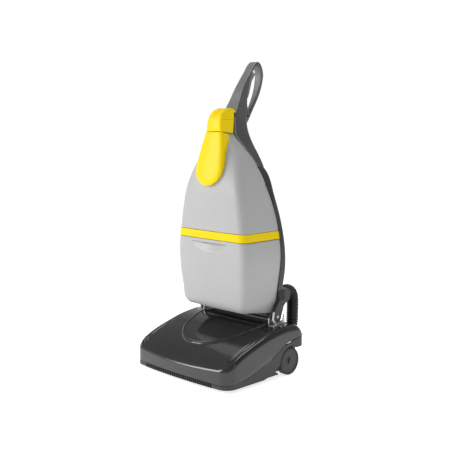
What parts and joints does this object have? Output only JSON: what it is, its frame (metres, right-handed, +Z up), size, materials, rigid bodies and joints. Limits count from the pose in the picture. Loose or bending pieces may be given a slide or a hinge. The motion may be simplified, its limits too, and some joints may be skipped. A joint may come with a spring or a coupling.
{
  "type": "upright vacuum cleaner",
  "caption": "Upright vacuum cleaner for commercial use: wheeled floor head with driven brush, reclining body with pull-out bin, control head and looped handle with trigger.",
  "frame": {"origin": "on the floor, under the middle of the machine's bounding box", "axes": "+Z up, -Y to the front, +X to the right hand side as seen from the front"},
  "size_m": [0.49, 0.5198, 1.13],
  "materials": {
    "shell_grey": "satin light grey",
    "yellow_plastic": "gloss yellow",
    "frame_dark": "satin dark grey",
    "handle_grey": "satin mid grey",
    "black_plastic": "black",
    "hood_gloss": "gloss dark grey",
    "skirt_dark": "satin dark grey",
    "tyre_rubber": "matt black rubber",
    "hose_rubber": "ribbed black",
    "zinc_steel": "bright zinc",
    "base_steel": "black painted sheet",
    "motor_metal": "cast",
    "filter_cloth": "pleated filter"
  },
  "bodies": {
    "floor_head": {"hood": "hood_gloss", "hood_centre_panel": "hood_gloss", "base_skirt": "skirt_dark", "base_plate": "base_steel", "front_comb_strip": "black_plastic", "front_glide": "black_plastic", "axle_block_right": "black_plastic", "axle_block_left": "black_plastic", "wheel_axle_right": "zinc_steel", "wheel_axle_left": "zinc_steel", "brush_end_plate_right": "zinc_steel", "brush_end_plate_left": "zinc_steel", "brush_bearing_right": "zinc_steel", "brush_bearing_left": "zinc_steel", "brush_housing": "black_plastic", "brush_motor": "motor_metal", "drive_belt": "tyre_rubber", "head_duct": "black_plastic", "hose_lower_cuff": "black_plastic", "hinge_bracket_right": "zinc_steel", "hinge_bracket_left": "zinc_steel", "hinge_pin_right": "zinc_steel", "hinge_pin_left": "zinc_steel", "bracket_bolts": "zinc_steel", "tie_bar": "zinc_steel", "pedal_bracket": "black_plastic", "suction_hose": "hose_rubber"},
    "upright_body": {"body_leg_right": "frame_dark", "body_leg_left": "frame_dark", "rear_frame": "frame_dark", "exhaust_grille": "frame_dark", "hose_upper_cuff": "black_plastic", "cable_gland": "frame_dark", "cable_hook_lower": "frame_dark", "lower_housing": "frame_dark", "bin_lid_plate": "frame_dark", "yellow_band": "yellow_plastic", "upper_shell": "shell_grey", "neck_column": "handle_grey", "handle_loop": "handle_grey", "control_head": "yellow_plastic", "fan_housing": "frame_dark", "suction_motor": "motor_metal", "filter_cassette": "filter_cloth"},
    "bin": {"collection_bin": "shell_grey"},
    "door": {"cover_door": "yellow_plastic"},
    "button_right": {"switch_right": "yellow_plastic"},
    "button_left": {"switch_left": "yellow_plastic"},
    "trigger": {"trigger_lever": "black_plastic"},
    "fan": {"fan_impeller": "frame_dark"},
    "upper_hook": {"cable_hook_upper": "frame_dark"},
    "pedal": {"release_pedal": "black_plastic"},
    "brush": {"brush_core": "black_plastic", "brush_bristles": "black_plastic", "brush_pulley": "black_plastic"},
    "motor_rotor": {"motor_pulley": "black_plastic"},
    "wheel_right": {"wheel_right": "skirt_dark", "tyre_right": "tyre_rubber"},
    "wheel_left": {"wheel_left": "skirt_dark", "tyre_left": "tyre_rubber"}
  },
  "joints": [
    {"name": "recline", "type": "hinge", "parent": "floor_head", "child": "upright_body", "pos_m": [0, 0.064, 0.206], "axis": [-1, 0, 0], "range_deg": [0, 55], "deforming": ["suction_hose"]},
    {"name": "wheel_right_spin", "type": "hinge", "parent": "floor_head", "child": "wheel_right", "pos_m": [0.2185, 0.07, 0.05], "axis": [1, 0, 0], "continuous": true},
    {"name": "wheel_left_spin", "type": "hinge", "parent": "floor_head", "child": "wheel_left", "pos_m": [-0.2185, 0.07, 0.05], "axis": [1, 0, 0], "continuous": true},
    {"name": "brush_spin", "type": "hinge", "parent": "floor_head", "child": "brush", "pos_m": [0, -0.2, 0.042], "axis": [1, 0, 0], "continuous": true},
    {"name": "motor_spin", "type": "hinge", "parent": "floor_head", "child": "motor_rotor", "pos_m": [-0.2, -0.06, 0.078], "axis": [1, 0, 0], "continuous": true},
    {"name": "pedal_press", "type": "hinge", "parent": "floor_head", "child": "pedal", "pos_m": [-0.1, 0.082, 0.038], "axis": [-1, 0, 0], "range_deg": [0, 12], "stiffness_Nm_per_rad": 3, "springref_deg": -5.73},
    {"name": "bin_slide", "type": "slide", "parent": "upright_body", "child": "bin", "axis": [0, -1, 0], "range_m": [0, 0.25]},
    {"name": "door_open", "type": "hinge", "parent": "upright_body", "child": "door", "pos_m": [0, -0.1102, 0.69], "axis": [1, 0, 0], "range_deg": [0, 60]},
    {"name": "switch_right_press", "type": "slide", "parent": "upright_body", "child": "button_right", "axis": [0, 1, 0], "range_m": [0, 0.003], "stiffness_N_per_m": 600},
    {"name": "switch_left_press", "type": "slide", "parent": "upright_body", "child": "button_left", "axis": [0, 1, 0], "range_m": [0, 0.003], "stiffness_N_per_m": 600},
    {"name": "trigger_squeeze", "type": "hinge", "parent": "upright_body", "child": "trigger", "pos_m": [0, 0.104, 1.085], "axis": [-1, 0, 0], "range_deg": [0, 4], "stiffness_Nm_per_rad": 1.5, "springref_deg": -5.73},
    {"name": "fan_spin", "type": "hinge", "parent": "upright_body", "child": "fan", "pos_m": [0, -0.01, 0.5555], "axis": [0, 0, 1], "continuous": true},
    {"name": "hook_swivel", "type": "hinge", "parent": "upright_body", "child": "upper_hook", "pos_m": [0, 0.1, 0.69], "axis": [0, 1, 0], "range_deg": [0, 180]}
  ],
  "couplings": [
    {"joint": "motor_spin", "follows": "brush_spin", "ratio": 1.5}
  ]
}
